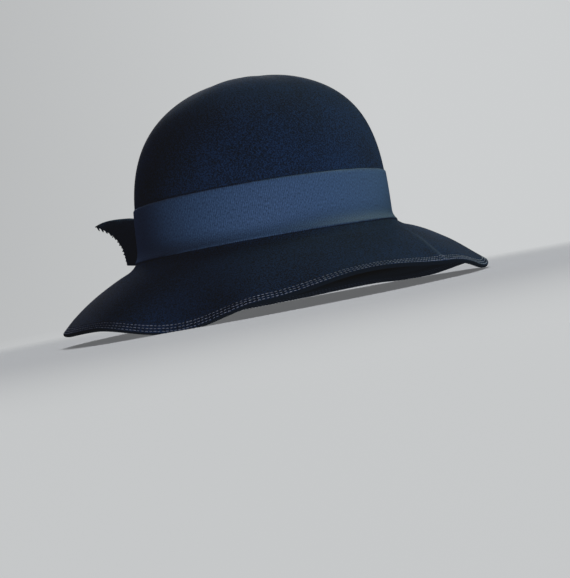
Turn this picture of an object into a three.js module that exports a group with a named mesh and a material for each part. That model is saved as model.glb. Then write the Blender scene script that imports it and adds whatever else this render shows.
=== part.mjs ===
// A felt hat with a plain round crown and a soft, wavy, down-turned brim, trimmed with a grosgrain
// ribbon band and a flat bow on the wearer's right. Millimetres, +Z up. The front of the hat is
// -Y and the wearer's left is +X. The origin lies on the surface that the hat stands on, under
// the middle of the brim. Azimuths are in degrees from the front, positive towards +X.
import * as THREE from 'three';
import { ParametricGeometry } from 'three/addons/geometries/ParametricGeometry.js';
import { mergeVertices } from 'three/addons/utils/BufferGeometryUtils.js';

// Felt hood: crown and brim are blocked from one piece of felt
const FELT_WALL = 2.2;
const HEM_WALL = 3.2; // thickness of the stitched edge
const HEM_WIDTH = 9;
const CROWN_HALF_LENGTH = 101.5; // outside, front to back, where the brim starts
const CROWN_HALF_WIDTH = 82.5; // outside, side to side
const CROWN_HEIGHT = 117; // from the break between crown and brim to the top
const CROWN_FULLNESS = 3.8; // exponent of the dome, where 2 is a plain ellipse
const CROWN_LEAN = 0.11; // backward shift for each millimetre of height
const CROWN_CENTRE_Y = -3; // puts the middle of the brim over the origin
const BREAK_HEIGHT = 41.7; // break between crown and brim, above the standing surface
const BREAK_FRONT_RISE = 3.3; // the break is this much higher at the front, lower at the back
const BREAK_SIDE_RISE = 0.3; // and this much higher at both sides
const BEND_RADIUS = 15.5; // the crown wall flares into the brim on this radius
const BRIM_WIDTH = 69; // measured along the felt, from the break to the edge
const ROOT_SLOPE = 21.5; // degrees below level where the brim leaves the crown
const ROOT_SLOPE_SWING = 4; // steeper by this at front and back, flatter by this at the sides

// Folds of the brim: a row for each crest or dip of its edge, as degrees below level at the edge
const BRIM_FOLDS = [
  { azimuth: -180, edgeSlope: 38 },
  { azimuth: -130, edgeSlope: 52 },
  { azimuth: -95, edgeSlope: 41 },
  { azimuth: -68, edgeSlope: 44 },
  { azimuth: -42, edgeSlope: 43 },
  { azimuth: -19, edgeSlope: 38.5 },
  { azimuth: 4, edgeSlope: 65 },
  { azimuth: 26, edgeSlope: 42 },
  { azimuth: 50, edgeSlope: 29 },
  { azimuth: 78, edgeSlope: 40 },
  { azimuth: 104, edgeSlope: 52 },
  { azimuth: 138, edgeSlope: 34 },
  { azimuth: 165, edgeSlope: 44 },
  { azimuth: 180, edgeSlope: 38 },
];

// Grosgrain trim
const GAP = 0.3; // clearance between neighbouring pieces
const RIBBON = 1; // ribbon thickness
const BAND_TOP = 37; // upper edge of the band, above the break
const BAND_BOTTOM_BEND = 1 / 2; // the lower edge lies this far round the bend into the brim
const BOW_AZIMUTH = -90;
const BOW_BOTTOM = 3.5; // lower edge of the bow ribbon, above the break
const BOW_HEIGHT = 33;
const BOW_TOP_REACH = 42; // from the knot forward or backward to the long corner
const BOW_BOTTOM_REACH = 31.5; // and to the short corner of the slanted cut
const BOW_CUT_CURVE = 3; // exponent of the hollow cut between them, where 1 is straight
const BOW_PINCH = 7; // the knot gathers each edge of the ribbon by this much
const BOW_PINCH_REACH = 24;
const BOW_FLARE_RADIUS = 45; // the ends curve away from the crown on this radius
const BOW_TIP_CURL = 9; // and tighter by this along the upper edge
const BOW_TIP_LIFT = 4.4; // the upper edge rises towards its ends by this much
const BOW_TIP_FALL = 5; // and the long corners then fall by this much
const KNOT_WALL = 1.2;
const KNOT_SEAT = 0.4; // clearance from its ends to the band
const KNOT_WIDTH = 15;
const KNOT_BOTTOM = 7; // lower and upper ends of the knot, above the break
const KNOT_TOP = 36;
const KNOT_PLUMP = 7; // how far its middle stands out beyond its ends

// Fineness of the surfaces
const AZIMUTH_STEPS = 72;
const DOME_STEPS = 10;
const WALL_STEPS = 3;
const BEND_STEPS = 4;
const BRIM_STEPS = 8;
const HEM_ROUND_STEPS = 4;
const BOW_STEPS = 18;
const BOW_ROWS = 3;
const KNOT_STEPS = 12;
const KNOT_ROWS = 2;
const JOIN_DISTANCE = 0.001;

// Stages of a section of the hat's outer face, counted from the apex down to the brim's edge
const APEX = 0;
const WALL_START = 1;
const BEND_START = 2;
const BRIM_START = 3;
const EDGE = 4;

const { abs, acos, asin, atan2, cos, max, min, PI, round, sin, sqrt, tan } = Math;
const radians = THREE.MathUtils.degToRad;
const lerp = THREE.MathUtils.lerp;
const meanRadius = (CROWN_HALF_LENGTH + CROWN_HALF_WIDTH) / 2;
const domeSweep = acos((BAND_TOP / CROWN_HEIGHT) ** (CROWN_FULLNESS / 2));

// Slope of the brim's edge, swinging smoothly from one fold to the next
function edgeSlope(azimuth) {
  const next = max(1, BRIM_FOLDS.findIndex((fold) => fold.azimuth >= azimuth));
  const from = BRIM_FOLDS[next - 1];
  const to = BRIM_FOLDS[next];
  const part = (azimuth - from.azimuth) / (to.azimuth - from.azimuth);
  return radians(lerp(from.edgeSlope, to.edgeSlope, (1 - cos(PI * part)) / 2));
}

function rootSlope(azimuth) {
  return radians(ROOT_SLOPE + ROOT_SLOPE_SWING * cos(2 * radians(azimuth)));
}

// Share of the head oval that the crown still has at a height above the break
function crownScale(rise) {
  return sqrt(max(0, 1 - (rise / CROWN_HEIGHT) ** CROWN_FULLNESS));
}

// Crown at a height above the break: scale shrinks the head oval, and slope is the angle below level
function crownSection(rise) {
  const scale = crownScale(rise);
  const pull = meanRadius * (CROWN_FULLNESS / 2) * (rise / CROWN_HEIGHT) ** (CROWN_FULLNESS - 1);
  return { scale, reach: 0, rise, slope: atan2(CROWN_HEIGHT * scale, pull) };
}

// Height above the break at which the bend into the brim starts
function bendTop(azimuth) {
  return BEND_RADIUS * tan((PI / 2 - rootSlope(azimuth)) / 2);
}

// Distance that the wall has turned outwards at a height above the break
function flare(azimuth, rise) {
  return BEND_RADIUS * (1 - cos(asin(max(0, bendTop(azimuth) - rise) / BEND_RADIUS)));
}

// Bend and brim at an azimuth: reach is the distance out from the head oval
function brimSection(azimuth, stage) {
  const root = rootSlope(azimuth);
  if (stage <= BRIM_START) {
    const turned = (stage - BEND_START) * (PI / 2 - root);
    const reach = BEND_RADIUS * (1 - cos(turned));
    return { scale: 1, reach, rise: bendTop(azimuth) - BEND_RADIUS * sin(turned), slope: PI / 2 - turned };
  }
  const width = BRIM_WIDTH - bendTop(azimuth) - HEM_WALL / 2;
  const slope = lerp(root, edgeSlope(azimuth), stage - BRIM_START);
  const radius = width / (edgeSlope(azimuth) - root);
  return {
    scale: 1,
    reach: BEND_RADIUS * (1 - sin(root)) + radius * (sin(slope) - sin(root)),
    rise: bendTop(azimuth) - BEND_RADIUS * cos(root) - radius * (cos(root) - cos(slope)),
    slope,
  };
}

function section(azimuth, stage) {
  if (stage <= WALL_START) {
    return crownSection(CROWN_HEIGHT * cos(stage * domeSweep) ** (2 / CROWN_FULLNESS));
  }
  if (stage < BEND_START) {
    return crownSection(lerp(BAND_TOP, bendTop(azimuth), stage - WALL_START));
  }
  return brimSection(azimuth, stage);
}

// Height of the break line above the standing surface
function breakHeight(azimuth) {
  const turn = radians(azimuth);
  return BREAK_HEIGHT + BREAK_FRONT_RISE * cos(turn) + BREAK_SIDE_RISE * sin(turn) ** 2;
}

// Point at a distance off the hat's outer face. overhang runs on past the section along the felt.
// Felt that would come below the standing surface is pressed flat on it.
function skinPoint(azimuth, { stage, lift, overhang }, target) {
  const turn = radians(azimuth);
  const { scale, reach, rise, slope } = section(azimuth, stage);
  const outward = new THREE.Vector2(sin(turn) / CROWN_HALF_WIDTH, -cos(turn) / CROWN_HALF_LENGTH);
  outward.setLength(reach + lift * sin(slope) + overhang * cos(slope));
  const fade = 1 - max(0, rise) / CROWN_HEIGHT;
  const height = lerp(BREAK_HEIGHT, breakHeight(azimuth), fade) + rise;
  target.set(
    scale * CROWN_HALF_WIDTH * sin(turn) + outward.x,
    CROWN_CENTRE_Y - scale * CROWN_HALF_LENGTH * cos(turn) + outward.y + CROWN_LEAN * max(0, rise),
    max(0, height + lift * cos(slope) - overhang * sin(slope)),
  );
}

// Joins the vertices that meet at a surface's seams and poles, and drops the triangles lost there
function closed(surface) {
  surface.deleteAttribute('normal');
  surface.deleteAttribute('uv');
  const joined = mergeVertices(surface, JOIN_DISTANCE);
  const corners = joined.getIndex().array;
  const kept = [];
  for (let i = 0; i < corners.length; i += 3) {
    const [a, b, c] = corners.slice(i, i + 3);
    if (a !== b && b !== c && c !== a) {
      kept.push(a, b, c);
    }
  }
  joined.setIndex(kept);
  joined.computeVertexNormals();
  return joined;
}

// Skin of revolution round the head oval, through a list of rows of stage, lift and overhang
function aroundHead(rows) {
  const stacks = rows.length - 1;
  const surface = (u, v, target) => {
    const azimuth = 180 - 360 * (u % 1);
    skinPoint(azimuth, rows[round(v * stacks)], target);
  };
  return closed(new ParametricGeometry(surface, AZIMUTH_STEPS, stacks));
}

function stageRange(from, to, steps) {
  return Array.from({ length: steps }, (_, i) => lerp(from, to, i / steps));
}

function feltWall(stage) {
  const hemStart = EDGE - HEM_WIDTH / BRIM_WIDTH;
  return lerp(FELT_WALL, HEM_WALL, THREE.MathUtils.smoothstep(stage, hemStart, EDGE));
}

// Crown and brim: down the outer face, round the edge and up the inner face
function feltBody() {
  const stages = [
    ...stageRange(APEX, WALL_START, DOME_STEPS),
    ...stageRange(WALL_START, BEND_START, WALL_STEPS),
    ...stageRange(BEND_START, BRIM_START, BEND_STEPS),
    ...stageRange(BRIM_START, EDGE, BRIM_STEPS),
    EDGE,
  ];
  const outer = stages.map((stage) => ({ stage, lift: 0, overhang: 0 }));
  const inner = stages.map((stage) => ({ stage, lift: -feltWall(stage), overhang: 0 })).reverse();
  const rim = stageRange(0, PI, HEM_ROUND_STEPS).slice(1).map((angle) => ({
    stage: EDGE,
    lift: (HEM_WALL / 2) * (cos(angle) - 1),
    overhang: (HEM_WALL / 2) * sin(angle),
  }));
  return aroundHead([...outer, ...rim, ...inner]);
}

// Ribbon band round the crown, its lower part flaring with the bend into the brim
function hatBand() {
  const bottom = BEND_START + BAND_BOTTOM_BEND;
  const stages = [
    ...stageRange(WALL_START, BEND_START, WALL_STEPS),
    ...stageRange(BEND_START, bottom, BEND_STEPS * BAND_BOTTOM_BEND),
    bottom,
  ];
  const outer = stages.map((stage) => ({ stage, lift: GAP + RIBBON, overhang: 0 }));
  const inner = stages.map((stage) => ({ stage, lift: GAP, overhang: 0 })).reverse();
  return aroundHead([...outer, ...inner, outer[0]]);
}

// Closed sheet over a grid. place takes along and across from -1 to 1 and a side: 1 is the outer
// face, -1 the inner face, and 0 the middle, where the two faces meet at both ends.
function closedSheet(columns, rows, place) {
  const loop = 2 * rows + 2;
  const surface = (u, v, target) => {
    const column = round(u * columns);
    const step = round(v * loop) % loop;
    const outside = step <= rows;
    const across = 1 - (2 * (outside ? step : loop - 1 - step)) / rows;
    const side = outside ? 1 : -1;
    place(1 - (2 * column) / columns, across, column % columns === 0 ? 0 : side, target);
  };
  return closed(new ParametricGeometry(surface, columns, loop));
}

const sideBreak = breakHeight(BOW_AZIMUTH);

// Bow ribbon: one strip behind the knot, its two slant-cut ends curving away from the crown
function bowRibbon() {
  const lift = GAP + RIBBON + GAP + RIBBON / 2;
  return closedSheet(BOW_STEPS, BOW_ROWS, (along, across, side, target) => {
    const upper = (across + 1) / 2;
    const forward = along * lerp(BOW_BOTTOM_REACH, BOW_TOP_REACH, upper ** BOW_CUT_CURVE);
    const radius = BOW_FLARE_RADIUS - BOW_TIP_CURL * upper ** 2;
    const gather = cos((min(1, abs(forward) / BOW_PINCH_REACH) * PI) / 2) ** 2;
    const half = BOW_HEIGHT / 2 - BOW_PINCH * gather;
    const tilt = atan2(forward, radius);
    const off = side * (RIBBON / 2);
    const lifted = upper * (BOW_TIP_LIFT * along ** 2 - BOW_TIP_FALL * along ** 8);
    target.set(
      -(CROWN_HALF_WIDTH + lift + forward ** 2 / (2 * radius) + off * cos(tilt)),
      CROWN_CENTRE_Y - forward + off * sin(tilt),
      sideBreak + BOW_BOTTOM + BOW_HEIGHT / 2 + across * half + lifted,
    );
  });
}

// Knot: a short strap over the middle of the bow, both ends meeting the band
function bowKnot() {
  const lift = GAP + RIBBON + KNOT_SEAT;
  return closedSheet(KNOT_STEPS, KNOT_ROWS, (along, across, side, target) => {
    const angle = ((along + 1) * PI) / 2;
    const rise = lerp(KNOT_TOP, KNOT_BOTTOM, (1 - cos(angle)) / 2);
    const aside = (-across * KNOT_WIDTH) / 2;
    const oval = CROWN_HALF_WIDTH * crownScale(rise) * sqrt(1 - (aside / CROWN_HALF_LENGTH) ** 2);
    const wall = oval + flare(BOW_AZIMUTH, rise);
    const off = side * (KNOT_WALL / 2);
    target.set(
      -(wall + lift + KNOT_PLUMP * sin(angle) + off * sin(angle)),
      CROWN_CENTRE_Y + aside,
      sideBreak + rise + off * cos(angle),
    );
  });
}

const feltMaterial = new THREE.MeshStandardMaterial({ color: 0x1b2438, roughness: 0.95, metalness: 0 });
const ribbonMaterial = new THREE.MeshStandardMaterial({ color: 0x33465f, roughness: 0.7, metalness: 0 });

function piece(name, geometry, material) {
  const mesh = new THREE.Mesh(geometry, material.clone());
  mesh.name = name;
  return mesh;
}

const hat = new THREE.Group();
hat.add(piece('felt_body', feltBody(), feltMaterial));
hat.add(piece('hat_band', hatBand(), ribbonMaterial));
hat.add(piece('bow_ribbon', bowRibbon(), ribbonMaterial));
hat.add(piece('bow_knot', bowKnot(), ribbonMaterial));

export default hat;
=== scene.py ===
"""Navy felt hat with a round crown, a wavy stitched brim, a grosgrain band and a flat side bow.

Everything is in metres in the part's own frame: +Z up, the front of the hat towards -Y, the wearer's left
towards +X, and the origin on the surface that the hat stands on. Azimuths run from the front, positive
towards the wearer's left, in radians unless their class says degrees.
"""

import sys
import logging
import math
from abc import ABC, abstractmethod
from collections.abc import Mapping, Sequence
from dataclasses import dataclass
from enum import Enum
from typing import NamedTuple

import bpy
import numpy as np
from mathutils import Matrix, Vector


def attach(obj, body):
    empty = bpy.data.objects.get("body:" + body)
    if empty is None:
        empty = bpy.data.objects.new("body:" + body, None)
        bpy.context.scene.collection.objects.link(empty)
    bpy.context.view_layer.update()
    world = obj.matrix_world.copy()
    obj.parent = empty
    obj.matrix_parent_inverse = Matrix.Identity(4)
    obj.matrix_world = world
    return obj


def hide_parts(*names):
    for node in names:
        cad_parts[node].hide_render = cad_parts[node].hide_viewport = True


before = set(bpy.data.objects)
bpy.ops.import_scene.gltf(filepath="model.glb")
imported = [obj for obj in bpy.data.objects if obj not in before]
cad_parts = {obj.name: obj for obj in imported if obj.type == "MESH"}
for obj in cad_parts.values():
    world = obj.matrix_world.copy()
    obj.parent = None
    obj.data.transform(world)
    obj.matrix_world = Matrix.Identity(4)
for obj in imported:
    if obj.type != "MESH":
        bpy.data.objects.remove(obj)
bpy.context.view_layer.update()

BODY = "root"
MM = 0.001
HALF_PI = math.pi / 2
CORD_PITCH = 1.2 * MM
LOG = logging.getLogger("hat")

Array = np.ndarray
Piece = bpy.types.Object
Material = bpy.types.Material
Node = bpy.types.Node
NodeTree = bpy.types.NodeTree
NodeSocket = bpy.types.NodeSocket
Span = tuple[float, float]


class Slot(Enum):
    """The record's material slots."""

    FELT = "felt"
    RIBBON = "ribbon"


class Face(Enum):
    """The two faces of the brim; the value is the share of the wall that lies above the face."""

    TOP = 0.0
    UNDER = 1.0


class Hold(Enum):
    """How a length of ribbon is kept in shape."""

    STRETCHED = "stretched"
    FOLDED = "folded"


class Lines(Enum):
    """How a mesh that is made of edges alone runs."""

    OPEN = "open"
    CLOSED = "closed"


class Lights(Enum):
    """What a lamp lights."""

    HAT = "hat"
    BACKDROP = "backdrop"
    SHADOW = "backdrop, with the hat's shadow"


# Helpers for numbers

def linear(colour: str) -> tuple[float, float, float, float]:
    """Turns an sRGB hex colour into linear red, green, blue and alpha."""
    shares = [int(colour[i:i + 2], 16) / 255 for i in (1, 3, 5)]
    return (*(s / 12.92 if s <= 0.04045 else ((s + 0.055) / 1.055) ** 2.4 for s in shares), 1.0)


def lerp(start: Array | float, end: Array | float, share: Array | float) -> Array | float:
    """Returns the value that lies a share of the way from start to end."""
    return start + (end - start) * share


def smooth_step(low: float, high: float, value: Array | float) -> Array | float:
    """Returns 0 below low, 1 above high, and a soft rise between them."""
    share = np.clip((value - low) / (high - low), 0.0, 1.0)
    return share * share * (3 - 2 * share)


def bell(value: Array | float, width: float) -> Array | float:
    """Returns 1 at zero, falling away softly over a width on either side."""
    return np.exp(-(value / width) ** 2)


def unit(vectors: Array) -> Array:
    """Returns vectors at length one."""
    return vectors / np.maximum(np.linalg.norm(vectors, axis=-1, keepdims=True), 1e-12)


def direction(azimuth: float, elevation: float) -> Vector:
    """Returns the unit vector towards an azimuth and an elevation."""
    level = math.cos(elevation)
    return Vector((math.sin(azimuth) * level, -math.cos(azimuth) * level, math.sin(elevation)))


def run_along(line: Array) -> Array:
    """Returns the distance of each point of a line from its start, measured along it."""
    return np.concatenate([[0], np.cumsum(np.linalg.norm(np.diff(line, axis=0), axis=1))])


def column(*parts: Array | float) -> Array:
    """Joins values round a ribbon's thickness into one column."""
    return np.concatenate([np.atleast_1d(part) for part in parts])[:, None]


# Helpers for nodes and meshes

def add_node(tree: NodeTree, kind: str, inputs: Mapping[str | int, object] | None = None,
             **settings: object) -> Node:
    """Adds one node to a tree.

    Args:
        tree: the tree that gets the node.
        kind: the node's type name.
        inputs: values by input name or number; an output is linked, and a node gives its first output.
        settings: the node's properties by name.

    Returns:
        The new node.
    """
    node = tree.nodes.new(kind)
    for name, value in settings.items():
        setattr(node, name, value)
    for key, value in (inputs or {}).items():
        if isinstance(value, Node):
            value = value.outputs[0]
        if isinstance(value, NodeSocket):
            tree.links.new(value, node.inputs[key])
        else:
            node.inputs[key].default_value = value
    return node


def geometry_tree(name: str, inputs: Mapping[str, str]) -> tuple[NodeTree, Mapping[str, NodeSocket]]:
    """Starts a Geometry Nodes tree with named inputs.

    Args:
        name: the tree's name.
        inputs: kind of value by input name, after the geometry itself.

    Returns:
        The tree and the sockets that give its inputs, by name.
    """
    tree = bpy.data.node_groups.new(name, "GeometryNodeTree")
    tree.interface.new_socket("Geometry", in_out="INPUT", socket_type="NodeSocketGeometry")
    for label, kind in inputs.items():
        tree.interface.new_socket(label, in_out="INPUT", socket_type=f"NodeSocket{kind}")
    tree.interface.new_socket("Geometry", in_out="OUTPUT", socket_type="NodeSocketGeometry")
    return tree, add_node(tree, "NodeGroupInput").outputs


def end_tree(tree: NodeTree, shape: Node, material: NodeSocket) -> None:
    """Ends a tree with real, smooth, dressed geometry.

    Args:
        tree: the tree to end.
        shape: the node that gives the geometry made so far.
        material: the material that dresses it.
    """
    real = add_node(tree, "GeometryNodeRealizeInstances", {"Geometry": shape})
    smooth = add_node(tree, "GeometryNodeSetShadeSmooth", {"Geometry": real})
    dressed = add_node(tree, "GeometryNodeSetMaterial", {"Geometry": smooth, "Material": material})
    add_node(tree, "NodeGroupOutput", {"Geometry": dressed})


def run_tree(piece: Piece, tree: NodeTree, values: Mapping[str, object]) -> None:
    """Runs a tree on a piece and keeps the result as the piece's plain mesh.

    Args:
        piece: the object that the tree works on.
        tree: the Geometry Nodes tree.
        values: the tree's inputs by name.
    """
    modifier = piece.modifiers.new(tree.name, "NODES")
    modifier.node_group = tree
    for item in tree.interface.items_tree:
        if item.item_type == "SOCKET" and item.in_out == "INPUT" and item.name in values:
            modifier[item.identifier] = values[item.name]
    graph = bpy.context.evaluated_depsgraph_get()
    made = bpy.data.meshes.new_from_object(piece.evaluated_get(graph), preserve_all_data_layers=True,
                                           depsgraph=graph)
    piece.modifiers.remove(modifier)
    before, piece.data = piece.data, made
    made.name = piece.name
    bpy.data.meshes.remove(before)


def add_mesh(name: str, points: Array, edges: Sequence[Sequence[int]], faces: Sequence[Sequence[int]],
             attributes: Mapping[str, Array] | None = None) -> Piece:
    """Makes a smooth object at the origin.

    Args:
        name: the object's name.
        points: one row of coordinates for each point.
        edges: point numbers of each loose edge.
        faces: point numbers of each face.
        attributes: named values for each point, one number or one vector each.

    Returns:
        The new object.
    """
    mesh = bpy.data.meshes.new(name)
    mesh.from_pydata(points.tolist(), edges, faces)
    mesh.shade_smooth()
    for label, values in (attributes or {}).items():
        kind, key = ("FLOAT", "value") if values.ndim == 1 else ("FLOAT_VECTOR", "vector")
        layer = mesh.attributes.new(label, kind, "POINT")
        layer.data.foreach_set(key, values.astype(np.float32).ravel())
    piece = bpy.data.objects.new(name, mesh)
    bpy.context.scene.collection.objects.link(piece)
    return piece


def grid_faces(rows: int, columns: int, wrap_rows: bool, wrap_columns: bool) -> list[list[int]]:
    """Lists the four-sided faces of a grid of points that are numbered row by row.

    Args:
        rows: number of rows of points.
        columns: number of points in each row.
        wrap_rows: True if the last row joins the first.
        wrap_columns: True if the last column joins the first.

    Returns:
        Four point numbers for each face.
    """
    row = np.arange(rows if wrap_rows else rows - 1)[:, None]
    place = np.arange(columns if wrap_columns else columns - 1)[None, :]
    below, beside = (row + 1) % rows, (place + 1) % columns
    corners = (row * columns + place, below * columns + place, below * columns + beside,
               row * columns + beside)
    return np.stack(np.broadcast_arrays(*corners), axis=-1).reshape(-1, 4).tolist()


def signed_volume(points: Array, faces: Sequence[Sequence[int]]) -> float:
    """Measures a closed shape, which comes out negative if its faces point inwards.

    Args:
        points: one row of coordinates for each point.
        faces: point numbers of each face.

    Returns:
        The volume in cubic metres.
    """
    total = 0.0
    for size in {len(face) for face in faces}:
        corners = points[np.array([face for face in faces if len(face) == size])]
        for k in range(1, size - 1):
            normal = np.cross(corners[:, k], corners[:, k + 1])
            total += float(np.einsum("ij,ij->", corners[:, 0], normal)) / 6
    return total


def add_solid(name: str, points: Array, faces: Sequence[Sequence[int]],
              attributes: Mapping[str, Array]) -> Piece:
    """Makes a closed object whose faces point outwards.

    Args:
        name: the object's name.
        points: one row of coordinates for each point.
        faces: point numbers of each face, all turned the same way.
        attributes: named values for each point, one number or one vector each.

    Returns:
        The new object.
    """
    if signed_volume(points, faces) < 0:
        faces = [face[::-1] for face in faces]
    return add_mesh(name, points, [], faces, attributes)


def add_lines(name: str, lines: Sequence[Array], run: Lines,
              attributes: Mapping[str, Array] | None = None) -> Piece:
    """Makes an object of edges alone, one chain for each line of points.

    Args:
        name: the object's name.
        lines: for each line, one row of coordinates for each point.
        run: whether each line closes on itself.
        attributes: named vectors for each point.

    Returns:
        The new object.
    """
    edges: list[tuple[int, int]] = []
    start = 0
    for line in lines:
        numbers = list(range(start, start + len(line)))
        edges += zip(numbers, numbers[1:])
        if run is Lines.CLOSED:
            edges.append((numbers[-1], numbers[0]))
        start += len(line)
    return add_mesh(name, np.concatenate(lines), edges, [], attributes)


# The form that all the pieces share

class BrimFold(NamedTuple):
    """A turning point of the brim's edge: its azimuth and how steeply the edge falls there, in degrees."""

    azimuth: float
    edge_slope: float


class Section(NamedTuple):
    """Points of the hat's section: share of the head oval, reach outside it, rise over the break, slope."""

    scale: Array
    reach: Array
    rise: Array
    slope: Array


@dataclass(frozen=True)
class HatForm:
    """The felt's outer skin: one section, swept round the head oval.

    A stage runs down the section: 0 to 1 is the dome, 1 to 2 the wall that the band covers, 2 to 3 the bend
    into the brim, and 3 to 4 the brim as far as the middle of its rounded edge. Spans are in stages, and the
    root slopes are in degrees.
    """

    half_length: float = 101.5 * MM
    half_width: float = 82.5 * MM
    centre_y: float = -3.0 * MM
    crown_height: float = 117.0 * MM
    crown_fullness: float = 3.8
    crown_lean: float = 0.11
    break_height: float = 41.7 * MM
    break_front_rise: float = 3.3 * MM
    break_side_rise: float = 0.3 * MM
    bend_radius: float = 15.5 * MM
    band_top: float = 37.0 * MM
    brim_width: float = 69.0 * MM
    root_slope: float = 21.5
    root_slope_swing: float = 4.0
    hem_wall: float = 3.2 * MM
    # At the wearer's left the brim's edge sags, and its root swells over a span and settles over another.
    sag_azimuth: float = math.radians(109)
    sag_width: float = math.radians(28)
    sag_drop: float = 2.5 * MM
    sag_reach: float = 1.5 * MM
    sag_span: Span = (3.45, 4.0)
    root_swell: float = 1.9 * MM
    swell_span: Span = (1.9, 2.75)
    settle_span: Span = (3.0, 3.45)
    folds: tuple[BrimFold, ...] = (
        BrimFold(-180, 38), BrimFold(-130, 52), BrimFold(-95, 41), BrimFold(-68, 44), BrimFold(-42, 43),
        BrimFold(-19, 38.5), BrimFold(4, 65), BrimFold(26, 42), BrimFold(50, 29), BrimFold(78, 40),
        BrimFold(104, 52), BrimFold(138, 34), BrimFold(165, 44), BrimFold(180, 38))

    def root(self, azimuth: Array) -> Array:
        """Returns the brim's slope where it leaves the bend."""
        return np.radians(self.root_slope + self.root_slope_swing * np.cos(2 * azimuth))

    def edge(self, azimuth: Array) -> Array:
        """Works out the brim's slope at its edge, which swings softly from fold to fold.

        Args:
            azimuth: azimuths from minus pi to pi.

        Returns:
            Slopes below the level, in radians.
        """
        turns, slopes = (np.array(values) for values in zip(*self.folds))
        degrees = np.degrees(azimuth)
        after = np.clip(np.searchsorted(turns, degrees), 1, len(turns) - 1)
        share = (degrees - turns[after - 1]) / (turns[after] - turns[after - 1])
        return np.radians(lerp(slopes[after - 1], slopes[after], (1 - np.cos(math.pi * share)) / 2))

    def tangent(self, azimuth: Array | float) -> Array:
        """Returns the height over the break at which the bend starts."""
        return self.bend_radius * np.tan((HALF_PI - self.root(azimuth)) / 2)

    def flare(self, azimuth: Array | float, rise: Array) -> Array:
        """Returns how far the wall has turned outwards at a height over the break."""
        turned = np.arcsin(np.maximum(0, self.tangent(azimuth) - rise) / self.bend_radius)
        return self.bend_radius * (1 - np.cos(turned))

    def brim_run(self, azimuth: Array | float) -> Array:
        """Returns the brim's length along its slope, from the bend to the start of the rounded edge."""
        return self.brim_width - self.tangent(azimuth) - self.hem_wall / 2

    def stage_from_edge(self, azimuth: Array | float, distance: Array | float) -> Array:
        """Returns the stage that lies a distance in from the brim's edge."""
        return 4 - (distance - self.hem_wall / 2) / self.brim_run(azimuth)

    def section(self, azimuth: Array, stage: Array) -> Section:
        """Works out points of the section.

        Args:
            azimuth: azimuths of the points.
            stage: stages of the points, in an array that goes with the azimuths.

        Returns:
            The points, in the section's own measures.
        """
        root, edge, tangent = self.root(azimuth), self.edge(azimuth), self.tangent(azimuth)
        power = self.crown_fullness
        sweep = math.acos((self.band_top / self.crown_height) ** (power / 2))
        dome = self.crown_height * np.cos(np.clip(stage, 0, 1) * sweep) ** (2 / power)
        rise = np.where(stage < 1, dome, lerp(self.band_top, tangent, np.clip(stage - 1, 0, 1)))
        share = rise / self.crown_height
        scale = np.sqrt(np.maximum(0, 1 - share ** power))
        mean_radius = (self.half_length + self.half_width) / 2
        slope = np.arctan2(self.crown_height * scale, mean_radius * power / 2 * share ** (power - 1))
        crown = Section(scale, 0 * rise, rise, slope)

        turned = np.clip(stage - 2, 0, 1) * (HALF_PI - root)
        bend = Section(1 + 0 * turned, self.bend_radius * (1 - np.cos(turned)),
                       tangent - self.bend_radius * np.sin(turned), HALF_PI - turned)

        fall = lerp(root, edge, np.clip(stage - 3, 0, 1))
        radius = self.brim_run(azimuth) / (edge - root)
        reach = self.bend_radius * (1 - np.sin(root)) + radius * (np.sin(fall) - np.sin(root))
        drop = tangent - self.bend_radius * np.cos(root) - radius * (np.cos(root) - np.cos(fall))
        brim = Section(1 + 0 * fall, reach, drop, fall)
        return Section(*(np.where(stage < 2, a, np.where(stage < 3, b, c))
                         for a, b, c in zip(crown, bend, brim)))

    def skin(self, azimuth: Array | float, stage: Array | float, lift: Array | float = 0.0,
             overhang: Array | float = 0.0) -> Array:
        """Works out points on or near the felt's outer skin, none of them below the standing surface.

        Args:
            azimuth: azimuths of the points.
            stage: stages of the points.
            lift: distance outwards from the skin.
            overhang: distance on from the point, down along the slope.

        Returns:
            Points, with the coordinates in the last axis.
        """
        azimuth, stage, lift, overhang = np.broadcast_arrays(azimuth, stage, lift, overhang)
        s = self.section(azimuth, stage)
        outward = unit(np.stack([np.sin(azimuth) / self.half_width, -np.cos(azimuth) / self.half_length], -1))
        beside = bell(azimuth - self.sag_azimuth, self.sag_width)
        sag = beside * smooth_step(*self.sag_span, stage)
        swell = beside * smooth_step(*self.swell_span, stage)
        swell = swell * (1 - smooth_step(*self.settle_span, stage))
        out = s.reach + self.sag_reach * sag + lift * np.sin(s.slope) + overhang * np.cos(s.slope)
        fall = self.sag_drop * sag - self.root_swell * swell + overhang * np.sin(s.slope)
        up = np.maximum(0, s.rise)
        fade = 1 - up / self.crown_height
        rim_rise = self.break_front_rise * np.cos(azimuth) + self.break_side_rise * np.sin(azimuth) ** 2
        x = s.scale * self.half_width * np.sin(azimuth) + out * outward[..., 0]
        y = self.centre_y - s.scale * self.half_length * np.cos(azimuth) + out * outward[..., 1]
        z = self.break_height + rim_rise * fade + s.rise + lift * np.cos(s.slope) - fall
        return np.stack([x, y + self.crown_lean * up, np.maximum(0, z)], -1)

    def side_break(self) -> float:
        """Returns the height of the break at the wearer's right, where the bow sits."""
        return self.break_height + self.break_side_rise


# Finishes

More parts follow.
